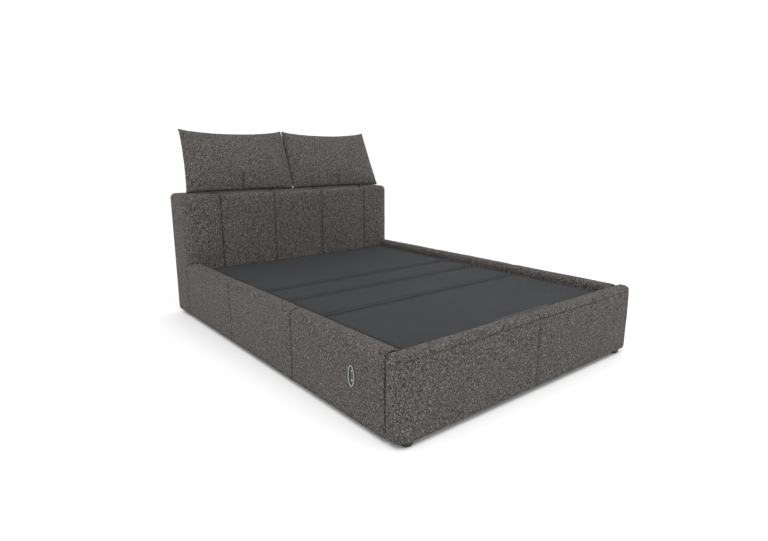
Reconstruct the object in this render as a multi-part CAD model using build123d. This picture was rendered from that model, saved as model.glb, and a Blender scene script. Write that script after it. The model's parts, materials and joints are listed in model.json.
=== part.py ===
"""Adjustable bed base in an upholstered surround, with two tilting headrest cushions.

X runs across the bed, Y runs from the footboard to the headboard, Z is up, all in mm.
The origin is on the floor in the middle of the bed.
"""

import os
from math import cos, pi, radians, sin

from build123d import *

os.makedirs("parts", exist_ok=True)

# Upholstered surround
HALF_WIDTH = 860
HALF_LENGTH = 1210
FLOOR_GAP = 30
FOOTBOARD_THICK = 86
FOOTBOARD_TOP = 388
RAIL_OUTER = 857
RAIL_INNER = 770
RAIL_TOP = 385
HEADBOARD_DEPTH = 270
HEADBOARD_TOP = 840
HEADBOARD_CORNER = 80
RAIL_LAP = 60
RAIL_SEAM_YS = (-403, 316)
CHANNEL_SEAM_XS = (-607.5, -202.5, 202.5, 607.5)
FOOT_PLACES = ((-785, -1167), (785, -1167), (-785, 1176), (785, 1176))
SEAM_WIDE = 3
SEAM_DEEP = 3
FOOTBOARD_BACK = -HALF_LENGTH + FOOTBOARD_THICK
HEADBOARD_FRONT = HALF_LENGTH - HEADBOARD_DEPTH

# Boards under the upholstery
RAIL_BOARD = (790, 838)
FOOT_BOARD_Y = (-1188, -1146)
HEAD_BOARD_Y = (962, 980)
HEAD_SIDE_X = (818, 836)
BACK_PANEL_THICK = 6
HEAD_BACK = HALF_LENGTH - BACK_PANEL_THICK
HEAD_BOARD_TOP = 825
CROSS_RAIL_Y = (1057, 1102)

RAIL_BRACKET_YS = (-780, -120, 700)

# Deck sections, given as foot end and head end along Y
DECK_HALF_WIDTH = 745
DECK_TOP = 345
DECK_UNDER = 300
BOARD_THICK = 18
BACK_Y = (115, 915)
SEAT_Y = (-140, 108)
THIGH_Y = (-485, -147)
LEG_Y = (-1100, -492)

# Hinge lines of the deck
BACK_AXIS = (111.5, 334)
THIGH_AXIS = (-143.5, 334)
KNEE_AXIS = (-488.5, 287.5)
HINGE_PIN_R = 5
RUNNING_GAP = 0.06

# Steel frame under the deck
MAIN_TUBE_X = (630, 660)
MAIN_TUBE_Z = (201, 241)
MAIN_TUBE_Y = (-1090, 900)
TUBE = 25
TUBE_WALL = 2
SUB_TUBE_Z = (275, 300)
MOVING_EAR_X = (650, 655)
FIXED_EAR_X = (657, 662)
ROLLER_AXIS = (-1008.5, 261.5)
ROLLER_R = 19.7

# Drives that push the horns of the back and thigh sections
HORN_LENGTH = 130
BACK_TRAVEL_DEG = 60
THIGH_TRAVEL_DEG = 35
HORN_X = 30
HORN_THICK = 6
DRIVE_PIN_R = 6
YOKE_GAP = 1.5

# Headrest cushions, in a frame that leans back with them
LEAN = 21
HEADREST_AXIS = (1040, 862)
CUSHION_NEAR = 3
CUSHION_FAR = 804
CUSHION_BOTTOM = -12
CUSHION_DIP = 404
CUSHION_HORN = 434
CUSHION_TAPER_NEAR = 9
CUSHION_TAPER_FAR = 34
CUSHION_FULLNESS = (
    (-1, 0.2),
    (-0.9, 0.6),
    (-0.55, 0.95),
    (0, 1),
    (0.55, 0.95),
    (0.9, 0.6),
    (1, 0.2),
)
RATCHET_XS = (180, 620)

# Control on the left rail
SWITCH_Y = -906
SWITCH_Z = 218
SWITCH_TALL = 96
SWITCH_WIDE = 45
BUTTON_RECESS = 5

# Cables
CABLE_R = 3
CABLE_BEND = 20


def block(x, y, z):
    """A plain box from its low and high limits on each axis."""
    centre = Pos((x[0] + x[1]) / 2, (y[0] + y[1]) / 2, (z[0] + z[1]) / 2)
    return centre * Box(x[1] - x[0], y[1] - y[0], z[1] - z[0])


def group(*shapes):
    """Separate solids that are kept together as one named piece."""
    solids = []
    for shape in shapes:
        solids.extend(shape.solids())
    return Compound(children=solids)


def both_sides(*shapes):
    """The shapes and their mirror images on the other side of the bed."""
    copies = [mirror(shape, about=Plane.YZ) for shape in shapes]
    return group(*shapes, *copies)


def bar_x(x, y, z, radius):
    """A round bar along X between two x values."""
    return Pos((x[0] + x[1]) / 2, y, z) * Rot(0, 90, 0) * Cylinder(radius, x[1] - x[0])


def bar_z(x, y, z, radius):
    """A round bar along Z between two z values."""
    return Pos(x, y, (z[0] + z[1]) / 2) * Cylinder(radius, z[1] - z[0])


def tube_y(x, y, z):
    """A rectangular steel tube along Y, open at both ends."""
    inside = block(
        (x[0] + TUBE_WALL, x[1] - TUBE_WALL),
        (y[0] - 1, y[1] + 1),
        (z[0] + TUBE_WALL, z[1] - TUBE_WALL),
    )
    return block(x, y, z) - inside


def tube_x(x, y, z):
    """A rectangular steel tube along X, open at both ends."""
    inside = block(
        (x[0] - 1, x[1] + 1),
        (y[0] + TUBE_WALL, y[1] - TUBE_WALL),
        (z[0] + TUBE_WALL, z[1] - TUBE_WALL),
    )
    return block(x, y, z) - inside


def link(x, start, end, radius):
    """A flat link plate in the YZ plane with round ends at two points."""
    across = (end[1] - start[1], start[0] - end[0])
    length = (across[0] ** 2 + across[1] ** 2) ** 0.5
    side = (across[0] / length * radius, across[1] / length * radius)
    corners = [
        (start[0] + side[0], start[1] + side[1]),
        (end[0] + side[0], end[1] + side[1]),
        (end[0] - side[0], end[1] - side[1]),
        (start[0] - side[0], start[1] - side[1]),
    ]
    middle = plate_yz(x, corners)
    ends = bar_x(x, start[0], start[1], radius) + bar_x(x, end[0], end[1], radius)
    return middle + ends


def plate_yz(x, corners):
    """A flat plate whose outline is given as (y, z) corners."""
    outline = Plane.YZ.offset(x[0]) * make_face(Polyline(*corners, close=True))
    return extrude(outline, amount=x[1] - x[0])


def plate_xy(z, corners):
    """A flat plate whose outline is given as (x, y) corners."""
    outline = Plane.XY.offset(z[0]) * make_face(Polyline(*corners, close=True))
    return extrude(outline, amount=z[1] - z[0])


def oval_x(x, y, z, wide, tall):
    """An oval block that stands on the YZ plane."""
    outline = Plane.YZ.offset(x[0]) * Pos(y, z) * Ellipse(wide / 2, tall / 2)
    return extrude(outline, amount=x[1] - x[0])


def bent_rod(points, radius, bend):
    """A round rod or cable that follows a line of points, with its corners bent round."""
    line = FilletPolyline(*points, radius=bend) if len(points) > 2 else Line(*points)
    section = Plane(origin=line @ 0, z_dir=line % 0) * Circle(radius)
    return sweep(section, path=line)


def edges_at(shape, axis, value):
    """The edges of a shape that lie in one plane."""
    return shape.edges().filter_by_position(axis, value - 0.01, value + 0.01)


# Footboard


def footboard_board():
    """The timber board inside the footboard."""
    return block((-830, 830), FOOT_BOARD_Y, (FLOOR_GAP, 362))


def footboard_cover():
    """Foam and cloth round the footboard, open underneath."""
    shape = block(
        (-HALF_WIDTH, HALF_WIDTH),
        (-HALF_LENGTH, FOOTBOARD_BACK),
        (FLOOR_GAP, FOOTBOARD_TOP),
    )
    front = edges_at(shape, Axis.Y, -HALF_LENGTH).filter_by(Axis.Z)
    shape = fillet(front, 50)
    shape = fillet(edges_at(shape, Axis.Z, FOOTBOARD_TOP), 26)
    seam = block(
        (-SEAM_WIDE / 2, SEAM_WIDE / 2),
        (-HALF_LENGTH - 1, -HALF_LENGTH + SEAM_DEEP),
        (FLOOR_GAP, FOOTBOARD_TOP),
    )
    shape = shape - seam - footboard_board()
    for bolt in corner_bolt_list():
        shape = shape - bolt
    return shape


# Side rails


def rail_board():
    """The timber board inside the right rail."""
    return block(RAIL_BOARD, (FOOTBOARD_BACK, HEADBOARD_FRONT), (FLOOR_GAP, 358))


def rail_cover():
    """Foam and cloth round the right rail, lapped round the corner of the headboard."""
    shape = block(
        (RAIL_INNER, RAIL_OUTER),
        (FOOTBOARD_BACK, HEADBOARD_FRONT + RAIL_LAP),
        (FLOOR_GAP, RAIL_TOP),
    )
    top = edges_at(shape, Axis.Z, RAIL_TOP).filter_by(Axis.Y)
    shape = fillet(top, 30) - headboard_form()
    for y in RAIL_SEAM_YS:
        seam = block(
            (RAIL_OUTER - SEAM_DEEP, RAIL_OUTER + 1),
            (y - SEAM_WIDE / 2, y + SEAM_WIDE / 2),
            (FLOOR_GAP, RAIL_TOP),
        )
        shape = shape - seam
    return shape - rail_board()


def drilled_rail(shape):
    """A right rail part with the holes for its bracket bolts."""
    for bolt in rail_bolt_list() + corner_bolt_list():
        shape = shape - bolt
    return shape


def switch_hole():
    """The oval pocket in the left rail and the cable hole behind it."""
    pocket = oval_x((-RAIL_OUTER, -832), SWITCH_Y, SWITCH_Z, 37, 88)
    hole = bar_x((-833, -RAIL_INNER), SWITCH_Y, SWITCH_Z, 4)
    return pocket + hole


# Headboard


def headboard_front_board():
    """The board behind the channelled front of the headboard."""
    return block((-800, 800), HEAD_BOARD_Y, (FLOOR_GAP, HEAD_BOARD_TOP))


def headboard_side_board():
    """The board in the right end of the headboard."""
    return block(HEAD_SIDE_X, (1005, HEAD_BACK), (FLOOR_GAP, HEAD_BOARD_TOP))


def headboard_corner_post():
    """The chamfered post in the right front corner of the headboard."""
    corners = [
        (800, 962),
        (836, 1005),
        (818, 1005),
        (818, 1030),
        (770, 1030),
        (770, 980),
        (800, 980),
    ]
    return plate_xy((FLOOR_GAP, HEAD_BOARD_TOP), corners)


def headboard_top_board():
    """The top board, notched round the posts and slotted for the ratchet plates."""
    board = block((-818, 818), (980, HEAD_BACK), (807, HEAD_BOARD_TOP))
    for x in ratchet_positions():
        board = board - ratchet_slot(x)
    post = block((769, 819), (979, 1031), (800, 830))
    return board - post - mirror(post, about=Plane.YZ)


def headboard_bottom_rail():
    """The timber that ties the two ends of the headboard near the floor."""
    return block((-818, 818), (1159, HEAD_BACK), (FLOOR_GAP, 110))


def headboard_cross_rail():
    """The timber inside the headboard that carries the headrests."""
    return block((-818, 818), CROSS_RAIL_Y, (700, 780))


def headboard_form():
    """The outer form of the headboard, with its round front corners."""
    shape = block(
        (-HALF_WIDTH, HALF_WIDTH),
        (HEADBOARD_FRONT, HEAD_BACK),
        (FLOOR_GAP, HEADBOARD_TOP),
    )
    front = edges_at(shape, Axis.Y, HEADBOARD_FRONT).filter_by(Axis.Z)
    shape = fillet(front, HEADBOARD_CORNER)
    top = edges_at(shape, Axis.Z, HEADBOARD_TOP)
    top = top - edges_at(shape, Axis.Y, HEAD_BACK)
    return fillet(top, 30)


def headboard_cover():
    """Foam and cloth over the front, ends and top of the headboard."""
    shape = headboard_form()
    for x in CHANNEL_SEAM_XS:
        wide = (x - SEAM_WIDE / 2, x + SEAM_WIDE / 2)
        front_seam = block(
            wide,
            (HEADBOARD_FRONT - 1, HEADBOARD_FRONT + 2 * SEAM_DEEP),
            (FLOOR_GAP, HEADBOARD_TOP),
        )
        top_seam = block(
            wide,
            (HEADBOARD_FRONT, HEAD_BACK),
            (HEADBOARD_TOP - 2 * SEAM_DEEP, HEADBOARD_TOP + 1),
        )
        shape = shape - front_seam - top_seam
    corners = [
        (-836, HEAD_BACK),
        (-836, 1005),
        (-800, 962),
        (800, 962),
        (836, 1005),
        (836, HEAD_BACK),
    ]
    shape = shape - plate_xy((FLOOR_GAP, HEAD_BOARD_TOP), corners)
    for x in ratchet_positions():
        shape = shape - ratchet_slot(x)
    for bolt in corner_bolt_list():
        shape = shape - bolt
    return shape


def headboard_back_panel():
    """The thin cloth-faced panel that closes the back of the headboard."""
    wide = (-HALF_WIDTH + 2, HALF_WIDTH - 2)
    return block(wide, (HEAD_BACK, HALF_LENGTH), (FLOOR_GAP + 4, HEADBOARD_TOP - 24))


# Brackets, bolts and feet of the surround


def corner_bracket_list():
    """Steel angles inside the four corners of the surround, right side."""
    brackets = []
    for face, inward in ((FOOTBOARD_BACK, 1), (HEADBOARD_FRONT, -1)):
        near = sorted((face, face + inward * 5))
        far = sorted((face, face + inward * 50))
        along = block((RAIL_INNER - 5, RAIL_INNER), far, (90, 190))
        across = block((RAIL_INNER - 50, RAIL_INNER - 5), near, (90, 190))
        brackets.append(along + across)
    return brackets


def bolt_x(x, y, z, reach):
    """A hexagon bolt along X whose head stands inward of x."""
    head = Plane.YZ.offset(x - 5) * Pos(y, z) * RegularPolygon(6.5, 6)
    shank = bar_x((x - 1, x + reach), y, z, 4)
    return extrude(head, amount=5) + shank


def bolt_y(x, y, z, inward, reach):
    """A hexagon bolt along Y that enters the face at y."""
    across = Plane(origin=(x, y, z), z_dir=(0, inward, 0))
    head = extrude(across * RegularPolygon(6.5, 6), amount=5)
    shank = extrude(across.offset(-reach) * Circle(4), amount=reach + 1)
    return head + shank


def corner_bolt_list():
    """The bolts of the corner brackets, right side then left side."""
    bolts = []
    for face, inward in ((FOOTBOARD_BACK, 1), (HEADBOARD_FRONT, -1)):
        for z in (110, 170):
            bolts.append(bolt_x(RAIL_INNER - 5, face + inward * 32, z, 45))
            bolts.append(bolt_y(735, face + inward * 5, z, inward, 40))
    return bolts + [mirror(bolt, about=Plane.YZ) for bolt in bolts]


def corner_brackets():
    """All four corner brackets, drilled for their bolts."""
    solids = []
    for bracket in corner_bracket_list():
        for bolt in corner_bolt_list():
            bracket = bracket - bolt
        solids.append(bracket)
    return both_sides(*solids)


def rail_bracket_list():
    """Angles that carry the steel frame on the right rail."""
    brackets = []
    for y in RAIL_BRACKET_YS:
        shelf = block((MAIN_TUBE_X[0], RAIL_INNER), (y - 25, y + 25), (197, 201))
        upright = block((RAIL_INNER - 4, RAIL_INNER), (y - 25, y + 25), (201, 262))
        brackets.append(shelf + upright)
    return brackets


def rail_bolt_list():
    """The bolts of the rail brackets on the right side."""
    bolts = []
    for y in RAIL_BRACKET_YS:
        for shift in (-12, 12):
            bolts.append(bolt_x(RAIL_INNER - 4, y + shift, 240, 45))
    return bolts


def rail_brackets():
    """All the rail brackets, drilled for their bolts."""
    solids = []
    for bracket in rail_bracket_list():
        for bolt in rail_bolt_list():
            bracket = bracket - bolt
        solids.append(bracket)
    return both_sides(*solids)


def feet():
    """The four round moulded feet screwed under the corners."""
    solids = []
    for x, y in FOOT_PLACES:
        shape = bar_z(x, y, (4, FLOOR_GAP), 26)
        solids.append(fillet(edges_at(shape, Axis.Z, 4), 3))
    return group(*solids)


def foot_glides():
    """The felt discs under the four feet."""
    return group(*[bar_z(x, y, (0, 4), 22) for x, y in FOOT_PLACES])


# Steel frame


def main_tube():
    """The long steel tube on the right side of the frame."""
    return tube_y(MAIN_TUBE_X, MAIN_TUBE_Y, MAIN_TUBE_Z)


def cross_tubes():
    """The steel tubes that join the two long tubes."""
    wide = (-MAIN_TUBE_X[0], MAIN_TUBE_X[0])
    tubes = []
    for y in (-1090, -360, -15, 330, 870):
        tubes.append(tube_x(wide, (y, y + 30), MAIN_TUBE_Z))
    return tubes


def support_legs():
    """The four round steel legs under the long tubes."""
    legs = []
    for x in (-645, 645):
        for y in (-600, 500):
            height = (10, MAIN_TUBE_Z[0])
            legs.append(bar_z(x, y, height, 17) - bar_z(x, y, height, 15))
    return group(*legs)


def leg_glides():
    """The rubber feet of the four support legs."""
    return group(*[bar_z(x, y, (0, 10), 22) for x in (-645, 645) for y in (-600, 500)])


def buffers():
    """Rubber blocks on which the lowered back and thigh sections rest."""
    pads = []
    for x in (-641, 641):
        for y in (180, 800, -440):
            pads.append(bar_z(x, y, (MAIN_TUBE_Z[1], SUB_TUBE_Z[0] - 0.4), 8))
    return group(*pads)


def seat_support():
    """The bracket under the right side of the seat, with its two hinge ears."""
    flange = block((632, 662), (-135, 103), (241, 244))
    shelf = block((625, 657), (-125, 92), (297, 300))
    web = block(FIXED_EAR_X, (-135, 103), (244, 300))
    back_ear = link(FIXED_EAR_X, BACK_AXIS, (108, 285), 10)
    thigh_ear = link(FIXED_EAR_X, THIGH_AXIS, (-140, 285), 10)
    shape = flange + shelf + web + back_ear + thigh_ear
    for axis in (BACK_AXIS, THIGH_AXIS):
        shape = shape - bar_x(FIXED_EAR_X, axis[0], axis[1], HINGE_PIN_R)
    return shape


def seat_hinge_pins():
    """The four pins on which the back and thigh sections turn."""
    pins = []
    for axis in (BACK_AXIS, THIGH_AXIS):
        shank = bar_x((646, 664), axis[0], axis[1], HINGE_PIN_R)
        head = bar_x((664, 666), axis[0], axis[1], HINGE_PIN_R + 2)
        pins.append(shank + head)
    return both_sides(*pins)


# Deck panels


def deck_board(y):
    """The plywood board of one deck section."""
    inner = DECK_HALF_WIDTH - 6
    board = block((-inner, inner), (y[0] + 6, y[1] - 6), (DECK_UNDER, DECK_UNDER + BOARD_THICK))
    for notch in hinge_notches():
        board = board - notch
    return board


def deck_cover(y):
    """Foam and cloth over one deck board."""
    wide = (-DECK_HALF_WIDTH, DECK_HALF_WIDTH)
    shape = block(wide, y, (DECK_UNDER, DECK_TOP))
    shape = fillet(shape.edges().filter_by(Axis.Z), 25)
    shape = fillet(edges_at(shape, Axis.Z, DECK_TOP), 12)
    inner = DECK_HALF_WIDTH - 6
    core = block((-inner, inner), (y[0] + 6, y[1] - 6), (DECK_UNDER, DECK_UNDER + BOARD_THICK))
    shape = shape - core
    for notch in hinge_notches():
        shape = shape - notch
    return shape


def hinge_notches():
    """The cut-outs in the deck round the ears of the two upper hinge lines."""
    notches = []
    for y, z in (BACK_AXIS, THIGH_AXIS):
        notch = block((645, 668), (y - 15, y + 15), (DECK_UNDER - 1, DECK_TOP + 1))
        notches.append(notch)
        notches.append(mirror(notch, about=Plane.YZ))
    return notches


# Back section


def back_frame():
    """The welded tube frame of the back section with its hinge ears and horns."""
    side = tube_y((625, 650), (130, 880), SUB_TUBE_Z)
    cross = sub_cross_tubes((-625, 625), (130, 490, 855))
    elbow = (BACK_AXIS[0], 287.5)
    ear = link(MOVING_EAR_X, BACK_AXIS, elbow, 10) + link(MOVING_EAR_X, elbow, (150, 287.5), 10)
    ear = ear - bar_x(MOVING_EAR_X, BACK_AXIS[0], BACK_AXIS[1], HINGE_PIN_R + RUNNING_GAP)
    plate = horn(BACK_AXIS, BACK_TRAVEL_DEG, 1, (130, 155))
    return group(both_sides(side, ear, plate), *cross)


def sub_cross_tubes(x, ys):
    """Cross tubes between the side tubes of a moving section."""
    return [tube_x(x, (y, y + TUBE), SUB_TUBE_Z) for y in ys]


def rest_pin(axis, travel, way):
    """Where a drive pin stands when its section is lowered."""
    swing = radians(travel / 2)
    return (axis[0] - way * HORN_LENGTH * sin(swing), axis[1] - HORN_LENGTH * cos(swing))


def horn(axis, travel, way, tube_y_limits):
    """The right one of the two plates that a drive pushes under its section."""
    pin = rest_pin(axis, travel, way)
    middle = (tube_y_limits[0] + tube_y_limits[1]) / 2
    plate_x = (HORN_X, HORN_X + HORN_THICK)
    plate = link(plate_x, (middle, 263), pin, 12)
    root = block(plate_x, tube_y_limits, (262, SUB_TUBE_Z[0]))
    return plate + root - bar_x(plate_x, pin[0], pin[1], DRIVE_PIN_R)


def drive_pin(axis, travel, way):
    """The cross pin between a pair of horns."""
    pin = rest_pin(axis, travel, way)
    end = HORN_X + HORN_THICK + 2
    return bar_x((-end, end), pin[0], pin[1], DRIVE_PIN_R)


# Thigh section


def thigh_frame():
    """The welded tube frame of the thigh section with its ears and horns."""
    side = tube_y((625, 650), (-472, -162), SUB_TUBE_Z)
    cross = sub_cross_tubes((-625, 625), (-470, -187))
    elbow = (THIGH_AXIS[0], 287.5)
    ear = link(MOVING_EAR_X, THIGH_AXIS, elbow, 10) + link(MOVING_EAR_X, elbow, (-182, 287.5), 10)
    ear = ear - bar_x(MOVING_EAR_X, THIGH_AXIS[0], THIGH_AXIS[1], HINGE_PIN_R + RUNNING_GAP)
    knee = link(MOVING_EAR_X, KNEE_AXIS, (-450, 287.5), 10)
    knee = knee - bar_x(MOVING_EAR_X, KNEE_AXIS[0], KNEE_AXIS[1], HINGE_PIN_R)
    plate = horn(THIGH_AXIS, THIGH_TRAVEL_DEG, -1, (-187, -162))
    return group(both_sides(side, ear, knee, plate), *cross)


def knee_pins():
    """The two pins on which the leg section folds."""
    shank = bar_x((646, 665), KNEE_AXIS[0], KNEE_AXIS[1], HINGE_PIN_R)
    head = bar_x((644, 646), KNEE_AXIS[0], KNEE_AXIS[1], HINGE_PIN_R + 3)
    return both_sides(shank + head)


# Leg section


def leg_frame():
    """The welded tube frame of the leg section with its ears and roller axles."""
    side = tube_y((662, 687), (-1060, -505), SUB_TUBE_Z)
    cross = sub_cross_tubes((-662, 662), (-1060, -560))
    ear = link(FIXED_EAR_X, KNEE_AXIS, (-525, 287.5), 10)
    ear = ear - bar_x(FIXED_EAR_X, KNEE_AXIS[0], KNEE_AXIS[1], HINGE_PIN_R + RUNNING_GAP)
    y, z = ROLLER_AXIS
    plate = block((664, 669), (y - 15, y + 15), (250, SUB_TUBE_Z[0]))
    axle = bar_x((638, 665), y, z, 4)
    return group(both_sides(side, ear, plate + axle), *cross)


def roller():
    """The nylon roller that carries the right side of the leg section."""
    wheel = bar_x((641, 657), ROLLER_AXIS[0], ROLLER_AXIS[1], ROLLER_R)
    return wheel - bar_x((640, 658), ROLLER_AXIS[0], ROLLER_AXIS[1], 4 + RUNNING_GAP)


def mattress_stop():
    """The low steel bar that keeps a mattress from sliding off the foot end."""
    points = [
        (-200, -1060, 294.5),
        (-200, -1109, 294.5),
        (-200, -1109, 372),
        (200, -1109, 372),
        (200, -1109, 294.5),
        (200, -1060, 294.5),
    ]
    return bent_rod(points, 5, 12)


# Drives


def carriage(axis, travel, way):
    """The sliding block with an upright slot for the drive pin."""
    y = rest_pin(axis, travel, way)[0]
    low = axis[1] - HORN_LENGTH
    upper = block((-26, 26), (y - 18, y + 18), (185, 238))
    tongue = block((-15, 15), (y - 18, y + 18), (156, 185))
    half = DRIVE_PIN_R + YOKE_GAP
    slot = block((-27, 27), (y - half, y + half), (low - half, 230))
    screw_hole = Pos(0, y, 168) * Rot(90, 0, 0) * Cylinder(7, 40)
    return upper + tongue - slot - screw_hole


def drive_track(near, far):
    """The aluminium channel that guides a carriage."""
    outer = block((-26, 26), (near, far), (148, 183))
    inner = block((-16, 16), (near - 1, far + 1), (154, 184))
    return outer - inner


def drive_screw(near, far):
    """The lead screw inside a track."""
    return Pos(0, (near + far) / 2, 168) * Rot(90, 0, 0) * Cylinder(6, far - near)


def drive_motor(near, far):
    """The gearbox and motor housing at the end of a track."""
    shape = block((-38, 38), (near, far), (128, 196))
    return fillet(shape.edges().filter_by(Axis.Y), 12)


def drive_hangers():
    """Steel plates that hang both drives from the cross tubes."""
    near = block((-60, 60), (-13, 13), (196, 201))
    post = block((-12, 12), (-13, 13), (146, 196))
    head = block((-30, 30), (334, 356), (196, 201))
    foot_end = block((-30, 30), (-356, -334), (196, 201))
    return [near + post, head, foot_end]


# Electrical parts


def control_box():
    """The box that switches the two motors."""
    shape = block((250, 430), (-400, -290), (161, 201))
    return fillet(shape.edges().filter_by(Axis.Z), 10)


def power_supply():
    """The mains power supply under the head end of the frame."""
    shape = block((250, 470), (300, 390), (151, 201))
    return fillet(shape.edges().filter_by(Axis.Z), 10)


def mains_inlet():
    """The two-pin mains socket on the end of the power supply."""
    shape = block((470, 480), (333, 357), (166, 182))
    pins = bar_x((474, 481), 341, 174, 1.5) + bar_x((474, 481), 349, 174, 1.5)
    recess = block((474, 481), (336, 354), (169, 179))
    return shape - recess + pins


def supply_cable():
    """The cable from the power supply to the control box."""
    return bent_rod([(340, 300, 176), (340, -290, 176)], CABLE_R, CABLE_BEND)


def back_motor_cable():
    """The cable from the back motor to the control box."""
    points = [(38, 330, 150), (210, 330, 150), (210, -235, 175), (280, -235, 175), (280, -290, 175)]
    return bent_rod(points, CABLE_R, CABLE_BEND)


def leg_motor_cable():
    """The cable from the leg motor to the control box."""
    return bent_rod([(38, -370, 176), (250, -370, 176)], CABLE_R, CABLE_BEND)


def switch_cable():
    """The cable from the rail switch to the control box."""
    points = [
        (-829, SWITCH_Y, SWITCH_Z),
        (-720, SWITCH_Y, SWITCH_Z),
        (-720, SWITCH_Y, 175),
        (-720, -500, 175),
        (300, -500, 175),
        (300, -400, 175),
    ]
    return bent_rod(points, CABLE_R, CABLE_BEND)


# Switch on the left rail


def switch_bezel():
    """The bright oval ring round the two buttons."""
    outer = oval_x((-HALF_WIDTH, -RAIL_OUTER), SWITCH_Y, SWITCH_Z, SWITCH_WIDE, SWITCH_TALL)
    inner = oval_x((-HALF_WIDTH - 1, -RAIL_OUTER + 1), SWITCH_Y, SWITCH_Z, 33, 84)
    ring = outer - inner
    return fillet(edges_at(ring, Axis.X, -HALF_WIDTH), 1.4)


def switch_housing():
    """The cup behind the ring that holds the two buttons."""
    outer = oval_x((-RAIL_OUTER, -832), SWITCH_Y, SWITCH_Z, 37, 88)
    inner = oval_x((-RAIL_OUTER - 1, -835), SWITCH_Y, SWITCH_Z, 33, 84)
    return outer - inner - bar_x((-836, -831), SWITCH_Y, SWITCH_Z, 3)


def button(upper):
    """One half of the oval, sprung to move 2 mm inward."""
    shape = oval_x((-HALF_WIDTH + BUTTON_RECESS, -842), SWITCH_Y, SWITCH_Z, 31, 82)
    keep_low = SWITCH_Z + 1 if upper else SWITCH_Z - 60
    keep = block((-862, -840), (SWITCH_Y - 30, SWITCH_Y + 30), (keep_low, keep_low + 59))
    return shape & keep


# Headrest cushions


def leaned(u, v):
    """World (y, z) of a point across and up the leaning cushion."""
    lean = radians(LEAN)
    y = HEADREST_AXIS[0] + u * cos(lean) + v * sin(lean)
    z = HEADREST_AXIS[1] - u * sin(lean) + v * cos(lean)
    return (y, z)


def leaned_block(x, u, v):
    """A box in the leaning frame of the cushion."""
    corners = [leaned(u[0], v[0]), leaned(u[1], v[0]), leaned(u[1], v[1]), leaned(u[0], v[1])]
    return plate_yz(x, corners)


def cushion_section(x, share, top, taper):
    """One slice of the cushion: share is how full it is, taper how far its top moves in."""
    rise = top - CUSHION_BOTTOM
    outline = [
        (-4, CUSHION_BOTTOM),
        (-46 * share, CUSHION_BOTTOM + rise * 0.12),
        (-60 * share, CUSHION_BOTTOM + rise * 0.36),
        (-46 * share, CUSHION_BOTTOM + rise * 0.73),
        (0, top),
        (36 * share, CUSHION_BOTTOM + rise * 0.75),
        (46 * share, CUSHION_BOTTOM + rise * 0.38),
        (36 * share, CUSHION_BOTTOM + rise * 0.12),
    ]
    points = []
    for u, v in outline:
        y, z = leaned(u, v)
        points.append((x - taper * v / top, y, z))
    return make_face(Spline(*points, periodic=True))


def cushion_body():
    """The soft outline of the right cushion before anything is cut from it."""
    middle = (CUSHION_NEAR + CUSHION_FAR) / 2
    half = (CUSHION_FAR - CUSHION_NEAR) / 2
    sections = []
    for step, share in CUSHION_FULLNESS:
        top = CUSHION_DIP + (CUSHION_HORN - CUSHION_DIP) * step * step
        spread = (CUSHION_TAPER_FAR + CUSHION_TAPER_NEAR) / 2 * step
        taper = (CUSHION_TAPER_FAR - CUSHION_TAPER_NEAR) / 2 + spread
        sections.append(cushion_section(middle + step * half, share, top, taper))
    return loft(sections)


def headrest_board():
    """The board inside the right cushion."""
    return leaned_block((75, 732), (-6, 6), (70, 330))


def headrest_arm(x):
    """A moving ratchet arm from the hinge to the back of the headrest board."""
    wide = (x + 6, x + 11)
    arm = link(wide, leaned(0, 0), leaned(17, 62), 12)
    arm = arm - leaned_block((x, x + 20), (-6, 6), (70, 340))
    tab = leaned_block(wide, (6, 22), (60, 150))
    hole = bar_x(wide, HEADREST_AXIS[0], HEADREST_AXIS[1], HINGE_PIN_R + RUNNING_GAP)
    return arm + tab - hole


def headrest_cushion():
    """The right headrest cushion with room for its board and hinges."""
    shape = cushion_body() - headrest_board()
    for x in RATCHET_XS:
        pocket = bar_x((x - 6, x + 20), HEADREST_AXIS[0], HEADREST_AXIS[1], 21)
        shape = shape - pocket - headrest_arm(x)
    return shape


def headrest_arms():
    """Both moving ratchet arms of the right cushion."""
    return group(*[headrest_arm(x) for x in RATCHET_XS])


def ratchet_positions():
    """The x of every ratchet plate on both sides of the bed."""
    return [-x - 5 for x in reversed(RATCHET_XS)] + list(RATCHET_XS)


def ratchet_slot(x):
    """The slot in the headboard top for one ratchet plate."""
    y = HEADREST_AXIS[0]
    return block((x - 1, x + 6), (y - 13, y + 13), (800, 860))


def ratchet_plates():
    """The fixed plates of both cushions, standing on the cross rail."""
    y, z = HEADREST_AXIS
    plates = []
    for x in RATCHET_XS:
        plate = link((x, x + 5), (y, z), (y, 715), 12)
        foot_plate = block((x - 20, x + 25), (CROSS_RAIL_Y[0] - 5, CROSS_RAIL_Y[0]), (703, 777))
        plates.append(plate + foot_plate - bar_x((x, x + 5), y, z, HINGE_PIN_R))
    return both_sides(*plates)


def ratchet_pins():
    """The hinge pins of both cushions."""
    y, z = HEADREST_AXIS
    pins = []
    for x in RATCHET_XS:
        shank = bar_x((x - 1, x + 13), y, z, HINGE_PIN_R)
        head = bar_x((x - 3, x - 1), y, z, HINGE_PIN_R + 2)
        pins.append(shank + head)
    return both_sides(*pins)


def left_of(shape):
    """The left-hand copy of a right-hand piece."""
    return mirror(shape, about=Plane.YZ)


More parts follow.
